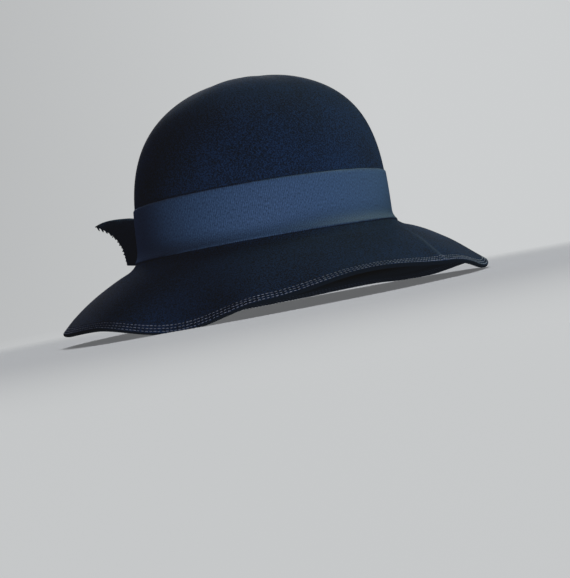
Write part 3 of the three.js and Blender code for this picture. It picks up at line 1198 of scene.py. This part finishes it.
@dataclass
class SideBow(SubAssembly):
    """The flat bow at the wearer's right: a ribbon with slant-cut tails, gathered under a knot."""

    form: HatForm
    ribbon: Grosgrain
    rests_on: Piece
    lift: float = 2.1 * MM
    bottom: float = 3.5 * MM
    height: float = 33.0 * MM
    top_reach: float = 42.0 * MM
    bottom_reach: float = 31.5 * MM
    cut_curve: float = 3.0
    cut_limit: float = 0.985
    pinch: float = 7.0 * MM
    pinch_reach: float = 24.0 * MM
    flare_radius: float = 45.0 * MM
    tip_curl: float = 9.0 * MM
    tip_lift: float = 4.4 * MM
    tip_fall: float = 5.0 * MM
    corner_lift: float = 2.0 * MM
    pleats: int = 3
    pleat_depth: float = 0.7 * MM
    thickness: float = 0.6 * MM
    wall: float = 1.0 * MM
    cord_share: float = 0.75
    rows: int = 15
    measured_steps: int = 4000
    # Teeth of loosened cords along the slanted cuts, a tooth for every few cords
    tooth: float = 0.8 * MM
    tip_tooth: float = 3.0 * MM
    tooth_cords: float = 1.75
    tooth_base: float = 0.25
    tooth_swing: float = 1.3
    # The knot
    knot_width: float = 15.0 * MM
    knot_waist: float = 1.2 * MM
    knot_bottom: float = 7.0 * MM
    knot_top: float = 36.0 * MM
    knot_seat: float = 1.7 * MM
    knot_plump: float = 7.0 * MM
    knot_wall: float = 1.2 * MM
    knot_pleats: int = 3
    knot_groove: float = 0.55 * MM
    knot_sharpness: float = 0.6
    knot_rows: int = 25
    knot_inner_every: int = 3
    knot_steps: int = 2000
    # Loose cord ends on the lower part of the cuts
    fray_threads: int = 10
    fray_length: float = 1.1 * MM
    fray_radius: float = 0.42 * MM
    fray_span: Span = (0.72, 0.04)
    fray_fall: tuple[float, float, float] = (-0.3, -0.35, -1.0)
    fray_taper: float = 0.8
    fray_stray: float = 0.3
    fray_steps: int = 4
    fray_sides: int = 6
    fray_points: int = 40
    fray_seed: int = 5

    def reach(self, upper: Array | float) -> Array | float:
        """Returns how far from the bow's middle the ribbon is cut, on a hollow slant."""
        return lerp(self.bottom_reach, self.top_reach, upper ** self.cut_curve)

    def sheet_point(self, forward: Array, upper: Array | float, off: Array | float) -> Array:
        """Works out a point of the bow's ribbon.

        Args:
            forward: distance towards the front from the middle of the bow.
            upper: 0 at the lower edge, 1 at the upper edge.
            off: distance out from the ribbon's inner face.

        Returns:
            Points, with the coordinates in the last axis.
        """
        share = np.minimum(1, np.abs(forward) / self.reach(upper))
        radius = self.flare_radius - self.tip_curl * upper ** 2
        gather = np.cos(np.minimum(1, np.abs(forward) / self.pinch_reach) * HALF_PI) ** 2
        half = self.height / 2 - self.pinch * gather
        tilt = np.arctan2(forward, radius)
        out = off + self.pleat_depth * gather * (1 - np.cos(math.tau * self.pleats * upper)) / 2
        x = -(self.form.half_width + self.lift + forward ** 2 / (2 * radius) + out * np.cos(tilt))
        y = self.form.centre_y - forward + out * np.sin(tilt)
        middle = self.form.side_break() + self.bottom + self.height / 2
        tip = upper * (self.tip_lift * share ** 2 - self.tip_fall * share ** 8)
        z = middle + (2 * upper - 1) * half + tip + (1 - upper) * self.corner_lift * share ** 4
        return np.stack(np.broadcast_arrays(x, y, z), -1)

    def cut(self, forward: Array, along: Array) -> Array:
        """Works out where the slanted ends are cut, with teeth that grow towards the tips.

        Args:
            forward: distances towards the front.
            along: distances along the ribbon.

        Returns:
            Share of the ribbon's width that is cut away from below.
        """
        slant = np.maximum(0, np.abs(forward) - self.bottom_reach) / (self.top_reach - self.bottom_reach)
        low = slant ** (1 / self.cut_curve)
        turn = math.tau * along / (self.tooth_cords * self.ribbon.pitch)
        finger = np.clip(self.tooth_base + self.tooth_swing * np.cos(turn), 0, 1)
        tooth = lerp(self.tooth, self.tip_tooth, np.minimum(1, slant) ** 2) / self.height * finger
        return np.clip(low - np.where(slant > 0, tooth, 0.0), 0, self.cut_limit)

    def make_ribbon(self) -> Piece:
        """Makes the bow's ribbon.

        Returns:
            The dressed ribbon.
        """
        fine = np.linspace(-self.top_reach, self.top_reach, self.measured_steps + 1)
        run = self.ribbon.measure(fine, self.sheet_point(fine, 0.5, 0.0), False)
        forward = run.station
        low = self.cut(forward, run.along)[None]
        share = np.linspace(0, 1, self.rows)[:, None]
        upper = np.concatenate([lerp(low, 1.0, share), np.ones_like(low), lerp(low, 1.0, share[::-1]), low])
        none, middle = np.zeros(self.rows), self.wall / 2
        inner, outer = none + (self.wall - self.thickness) / 2, none + (self.wall + self.thickness) / 2
        off = column(outer, middle, inner, middle)
        points = self.sheet_point(forward, upper, off)
        outwards = self.sheet_point(forward, upper, off + MM) - points
        side = np.sign(off - middle)[..., None] * self.cord_share
        edge = column(none, 1.0, none, -1.0)[..., None]
        outward = unit(outwards) * side + edge * np.array([0.0, 0.0, 1.0])
        piece = self.ribbon.make("grosgrain_bow", run, RibbonGrid(points, outward, upper * self.height))
        dress_ribbon(piece, "bow_ribbon")
        return piece

    def knot_point(self, turn: Array, across: Array | float, off: Array | float) -> Array:
        """Works out a point of the strip that is wrapped over the bow's middle.

        Args:
            turn: 0 at the strip's upper end, pi at its lower end.
            across: -1 at the strip's back edge, 1 at its front edge.
            off: distance out from the strip's inner face.

        Returns:
            Points, with the coordinates in the last axis.
        """
        form = self.form
        rise = lerp(self.knot_top, self.knot_bottom, (1 - np.cos(turn)) / 2)
        waist = self.knot_waist * np.sin(turn) ** 2
        aside = -across * (self.knot_width / 2 - waist)
        share = np.minimum(1, rise / form.crown_height)
        wall = (form.half_width * np.sqrt(1 - share ** form.crown_fullness)
                * np.sqrt(1 - (aside / form.half_length) ** 2)) + form.flare(-HALF_PI, rise)
        x = -(wall + self.knot_seat + self.knot_plump * np.sin(turn) + off * np.sin(turn))
        z = form.side_break() + rise + off * np.cos(turn)
        return np.stack(np.broadcast_arrays(x, form.centre_y + aside, z), -1)

    def make_knot(self) -> Piece:
        """Makes the knot: a strip with soft lengthwise pleats, whose cords run across it.

        Returns:
            The dressed knot.
        """
        fine = np.linspace(0, math.pi, self.knot_steps + 1)
        run = self.ribbon.measure(fine, self.knot_point(fine, 0.0, self.knot_wall), False)
        turn = run.station
        spread = np.linspace(-1, 1, self.knot_rows)
        inner, half = spread[::-self.knot_inner_every], self.knot_wall / 2
        across = column(spread, 1.0, inner, -1.0)
        fold = np.abs(np.cos(HALF_PI * self.knot_pleats * spread)) ** self.knot_sharpness
        outer = self.knot_wall - self.ribbon.cord_height - self.knot_groove * (1 - fold)
        off = column(outer, half, 0 * inner, half)
        face = column(0 * outer + 1, 0.0, 0 * inner, 0.0)[..., None]
        points = self.knot_point(turn, across, off)
        outward = unit(self.knot_point(turn, across, off + MM) - points) * face
        grid = RibbonGrid(points, outward, across * self.knot_width / 2)
        piece = self.ribbon.make("grosgrain_knot", run, grid)
        dress_ribbon(piece, "bow_knot")
        return piece

    def fray_tree(self) -> NodeTree:
        """Makes the tree that sets loose cord ends along a cut edge.

        Returns:
            The tree, with the ends' number, length and thickness as its inputs.
        """
        tree, given = geometry_tree("frayed cords", {
            "Ends": "Int", "Length": "Float", "Radius": "Float", "Seed": "Int", "Ribbon": "Material"})
        curve = add_node(tree, "GeometryNodeMeshToCurve", {"Mesh": given["Geometry"]})
        spaced = add_node(tree, "GeometryNodeResampleCurve",
                          {"Curve": curve, "Count": given["Ends"]}, mode="COUNT")
        fall = add_node(tree, "GeometryNodeInputNamedAttribute", {"Name": "fall"}, data_type="FLOAT_VECTOR")
        astray = add_node(tree, "FunctionNodeRandomValue",
                          {0: (-self.fray_stray,) * 3, 1: (self.fray_stray,) * 3, "Seed": given["Seed"]},
                          data_type="FLOAT_VECTOR")
        towards = add_node(tree, "ShaderNodeVectorMath", {0: fall, 1: astray}, operation="ADD")
        turned = add_node(tree, "FunctionNodeAlignRotationToVector", {"Vector": towards}, axis="Z")
        size = add_node(tree, "ShaderNodeVectorMath", {0: towards}, operation="LENGTH")
        tip = add_node(tree, "ShaderNodeCombineXYZ", {"Z": given["Length"]})
        line = add_node(tree, "GeometryNodeCurvePrimitiveLine", {"End": tip})
        stepped = add_node(tree, "GeometryNodeResampleCurve",
                           {"Curve": line, "Count": self.fray_steps}, mode="COUNT")
        ring = add_node(tree, "GeometryNodeCurvePrimitiveCircle",
                        {"Resolution": self.fray_sides, "Radius": given["Radius"]})
        cord = add_node(tree, "GeometryNodeCurveToMesh",
                        {"Curve": stepped, "Profile Curve": ring, "Fill Caps": True})
        loose = add_node(tree, "GeometryNodeInstanceOnPoints",
                         {"Points": spaced, "Instance": cord, "Rotation": turned,
                          "Scale": size.outputs["Value"]})
        end_tree(tree, loose, given["Ribbon"])
        return tree

    def make_fray(self) -> Piece:
        """Sets loose cord ends along the lower part of both slanted cuts.

        Returns:
            The loose ends, as one piece.
        """
        share = np.linspace(0, 1, self.fray_points)
        upper = lerp(*self.fray_span, share)
        shorter = lerp(1.0, self.fray_taper, share)[:, None]
        lines, falls = [], []
        for end in (-1.0, 1.0):
            lines.append(self.sheet_point(end * self.reach(upper), upper, self.wall / 2))
            falls.append(shorter * np.array(self.fray_fall) * np.array([1.0, end, 1.0]))
        piece = add_lines("bow_frayed_ends", lines, Lines.OPEN, {"fall": np.concatenate(falls)})
        run_tree(piece, self.fray_tree(), {
            "Ends": self.fray_threads, "Length": self.fray_length, "Radius": self.fray_radius,
            "Seed": self.fray_seed, "Ribbon": self.ribbon.finishes.grosgrain})
        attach(piece, BODY)
        return piece

    def build(self) -> list[Piece]:
        """Makes the bow's ribbon, its knot and its frayed ends."""
        return [self.make_ribbon(), self.make_knot(), self.make_fray()]


# Camera, light and backdrop

@dataclass(frozen=True)
class PhotoCamera:
    """The camera at the photograph's viewing angle, low and leaning, with the photograph's frame.

    The frame, the focal length and the target are in the photograph's pixels, and the sensor is in
    millimetres.
    """

    frame_width: float = 570.0
    frame_height: float = 578.0
    focal: float = 1461.0
    target_x: float = 269.2
    target_y: float = 246.6
    azimuth: float = math.radians(28.0)
    elevation: float = math.radians(-1.2)
    roll: float = math.radians(10.75)
    distance: float = 1.0
    sensor: float = 36.0
    nearest: float = 0.01

    def build(self, form: HatForm) -> None:
        """Makes the scene's camera.

        Args:
            form: the hat that it looks at; its break's middle lies at the target pixel.
        """
        target = Vector((0.0, form.centre_y, form.break_height))
        away = direction(self.azimuth, self.elevation)
        right = (-away).cross(Vector((0, 0, 1))).normalized()
        up = right.cross(-away).normalized()
        axes = Matrix((right, up, away)).transposed()
        roll = Matrix.Rotation(-self.roll, 3, "Z")
        seen = Vector((self.target_x - self.frame_width / 2, self.frame_height / 2 - self.target_y,
                       -self.focal))
        aim = Vector((0, 0, -1)).rotation_difference(seen).to_matrix().transposed()
        data = bpy.data.cameras.new("photo_camera")
        data.sensor_fit = "HORIZONTAL"
        data.sensor_width = self.sensor
        data.lens = self.focal * self.sensor / self.frame_width
        data.clip_start = self.nearest
        camera = bpy.data.objects.new("photo_camera", data)
        camera.matrix_world = Matrix.Translation(target + away * self.distance) @ (axes @ roll @ aim).to_4x4()
        bpy.context.scene.collection.objects.link(camera)
        bpy.context.scene.camera = camera


class Lamp(NamedTuple):
    """A square soft light: its azimuth and elevation in degrees, as seen from the point that it aims at."""

    name: str
    azimuth: float
    elevation: float
    width: float
    power: float
    colour: str
    lights: Lights = Lights.HAT
    distance: float = 1.6
    aim_height: float = 0.07


@dataclass(frozen=True)
class Studio:
    """A pale round sweep under a dim soft sky, with a key light at the viewer's right."""

    lamps: tuple[Lamp, ...] = (
        Lamp("key_light", 52, -26, 0.45, 19.2, "#ffffff"),
        Lamp("top_light", 150, 45, 0.8, 19.0, "#ecffde"),
        Lamp("left_light", -75, 5, 0.6, 1.3, "#9ab8ff"),
        Lamp("back_light", -150, 25, 0.6, 13.0, "#f8faff"),
        Lamp("high_light", -130, 70, 0.8, 5.4, "#fff8fa"),
        Lamp("floor_light", 0, 90, 2.6, 30.0, "#fafcff", Lights.BACKDROP, 2.3, 0.0),
        Lamp("shade_light", 135, 79.1, 1.4, 15.0, "#fafcff", Lights.SHADOW, 2.24, 0.0))
    glare: float = 0.0055
    sky: str = "#ffffff"
    sky_strength: float = 0.012
    sky_fade: Span = (-0.35, 0.1)
    floor_radius: float = 1.6
    floor_rows: int = 7
    floor_drop: float = 0.2 * MM
    sweep_radius: float = 1.0
    sweep_rows: int = 13
    wall_height: float = 2.4
    flag_radius: float = 0.132
    flag_drop: float = 2.0 * MM
    sides: int = 96

    def build(self, paper: Material) -> None:
        """Makes the backdrop, the lights and the sky.

        Args:
            paper: the backdrop's material.
        """
        sweep = self.make_sweep(paper)
        self.make_flag(paper)
        groups = {lights: self.light_group(sweep, lights) for lights in Lights}
        for lamp in self.lamps:
            self.make_lamp(lamp, groups[lamp.lights])
        self.make_sky()
        self.make_film()

    def make_film(self) -> None:
        """Sets plain colours, with blacks lifted by as much as a lens's glare lifts them."""
        film = bpy.context.scene.view_settings
        film.view_transform = "Standard"
        film.use_curve_mapping = True
        film.curve_mapping.black_level = (-self.glare,) * 3
        film.curve_mapping.update()

    def rings(self, radii: Array, heights: Array) -> Array:
        """Works out the points of level rings round the origin.

        Args:
            radii: the rings' radii.
            heights: the rings' heights.

        Returns:
            Points, ring by ring.
        """
        around = np.linspace(0, math.tau, self.sides, endpoint=False)
        radii, heights = radii[:, None], heights[:, None]
        ring = np.broadcast_arrays(radii * np.cos(around), radii * np.sin(around), heights)
        return np.stack(ring, -1).reshape(-1, 3)

    def make_sweep(self, paper: Material) -> Piece:
        """Makes the backdrop: a round floor that turns up into a wall with no edge to be seen.

        Args:
            paper: the backdrop's material.

        Returns:
            The backdrop's object.
        """
        turns = np.linspace(0, HALF_PI, self.sweep_rows)
        flat = np.linspace(0, self.floor_radius, self.floor_rows + 2)[1:-1]
        radii = np.concatenate([flat, self.floor_radius + self.sweep_radius * np.sin(turns),
                                [self.floor_radius + self.sweep_radius]])
        heights = np.concatenate([0 * flat, self.sweep_radius * (1 - np.cos(turns)), [self.wall_height]])
        faces = grid_faces(len(radii), self.sides, False, True) + [list(range(self.sides))]
        sweep = add_mesh("pale_sweep", self.rings(radii, heights - self.floor_drop), [], faces)
        sweep.data.materials.append(paper)
        sweep.visible_diffuse = False
        sweep.visible_glossy = False
        return sweep

    def make_flag(self, paper: Material) -> None:
        """Makes a round card under the floor, which keeps the low key light off the hat's inside.

        Args:
            paper: the card's material.
        """
        ring = self.rings(np.array([self.flag_radius]), np.array([-self.flag_drop]))
        flag = add_mesh("light_flag", ring, [], [list(range(self.sides))])
        flag.data.materials.append(paper)

    def light_group(self, sweep: Piece, lights: Lights) -> bpy.types.Collection:
        """Makes the group that tells lamps what they light: the backdrop alone, or all but the backdrop.

        Args:
            sweep: the backdrop.
            lights: what the lamps light.

        Returns:
            The group, with the backdrop in it.
        """
        group = bpy.data.collections.new(f"{lights.name.lower()}_lights")
        group.objects.link(sweep)
        linking = group.collection_objects[0].light_linking
        linking.link_state = "EXCLUDE" if lights is Lights.HAT else "INCLUDE"
        return group

    def make_lamp(self, lamp: Lamp, group: bpy.types.Collection) -> None:
        """Makes one square soft light, turned towards the hat.

        Args:
            lamp: the light's place, size and colour.
            group: what the light falls on.
        """
        data = bpy.data.lights.new(lamp.name, "AREA")
        data.shape = "SQUARE"
        data.size = lamp.width
        data.energy = lamp.power
        data.color = linear(lamp.colour)[:3]
        away = direction(math.radians(lamp.azimuth), math.radians(lamp.elevation))
        light = bpy.data.objects.new(lamp.name, data)
        light.location = Vector((0.0, 0.0, lamp.aim_height)) + away * lamp.distance
        light.rotation_euler = (-away).to_track_quat("-Z", "Y").to_euler()
        light.light_linking.receiver_collection = group
        light.light_linking.blocker_collection = None if lamp.lights is Lights.SHADOW else group
        bpy.context.scene.collection.objects.link(light)

    def make_sky(self) -> None:
        """Makes the sky, which is even above the level and dark under it."""
        world = bpy.data.worlds.new("soft_sky")
        world.use_nodes = True
        tree = world.node_tree
        tree.nodes.clear()
        start, end = self.sky_fade
        towards = add_node(tree, "ShaderNodeTexCoord").outputs["Generated"]
        height = add_node(tree, "ShaderNodeSeparateXYZ", {0: towards}).outputs["Z"]
        level = add_node(tree, "ShaderNodeMapRange",
                         {"Value": height, "From Min": start, "From Max": end, "To Max": self.sky_strength},
                         interpolation_type="SMOOTHSTEP")
        glow = add_node(tree, "ShaderNodeBackground", {"Color": linear(self.sky), "Strength": level})
        add_node(tree, "ShaderNodeOutputWorld", {"Surface": glow})
        bpy.context.scene.world = world


def report(pieces: Sequence[Piece]) -> None:
    """Logs each piece with the number of its triangles.

    Args:
        pieces: the pieces of one sub-assembly.
    """
    for piece in pieces:
        triangles = sum(len(face.vertices) - 2 for face in piece.data.polygons)
        LOG.info("%s: %d triangles", piece.name, triangles)


def main() -> None:
    """Builds the scene and then the hat, sub-assembly by sub-assembly."""
    logging.basicConfig(level=logging.INFO, format="%(name)s: %(message)s", stream=sys.stdout)
    form = HatForm()
    PhotoCamera().build(form)
    Studio().build(PaperFinish().material())
    # A darker copy of the same thread, as painted shade for the stitches under the brim.
    shaded_thread = ThreadFinish("navy_bobbin_thread", "#0c1526", "#1a2740")
    finishes = Finishes(FeltFinish().material(), GrosgrainFinish().material(), ThreadFinish().material(),
                        shaded_thread.material())
    ribbon = Grosgrain(finishes)
    hood = FeltHood(form, finishes)
    hood_pieces = hood.build()
    report(hood_pieces)
    report(EdgeStitching(form, finishes, hood, hood_pieces[0]).build())
    band_pieces = HatBand(form, ribbon, hood_pieces[0]).build()
    report(band_pieces)
    report(SideBow(form, ribbon, band_pieces[0]).build())


if __name__ == "__main__":
    main()
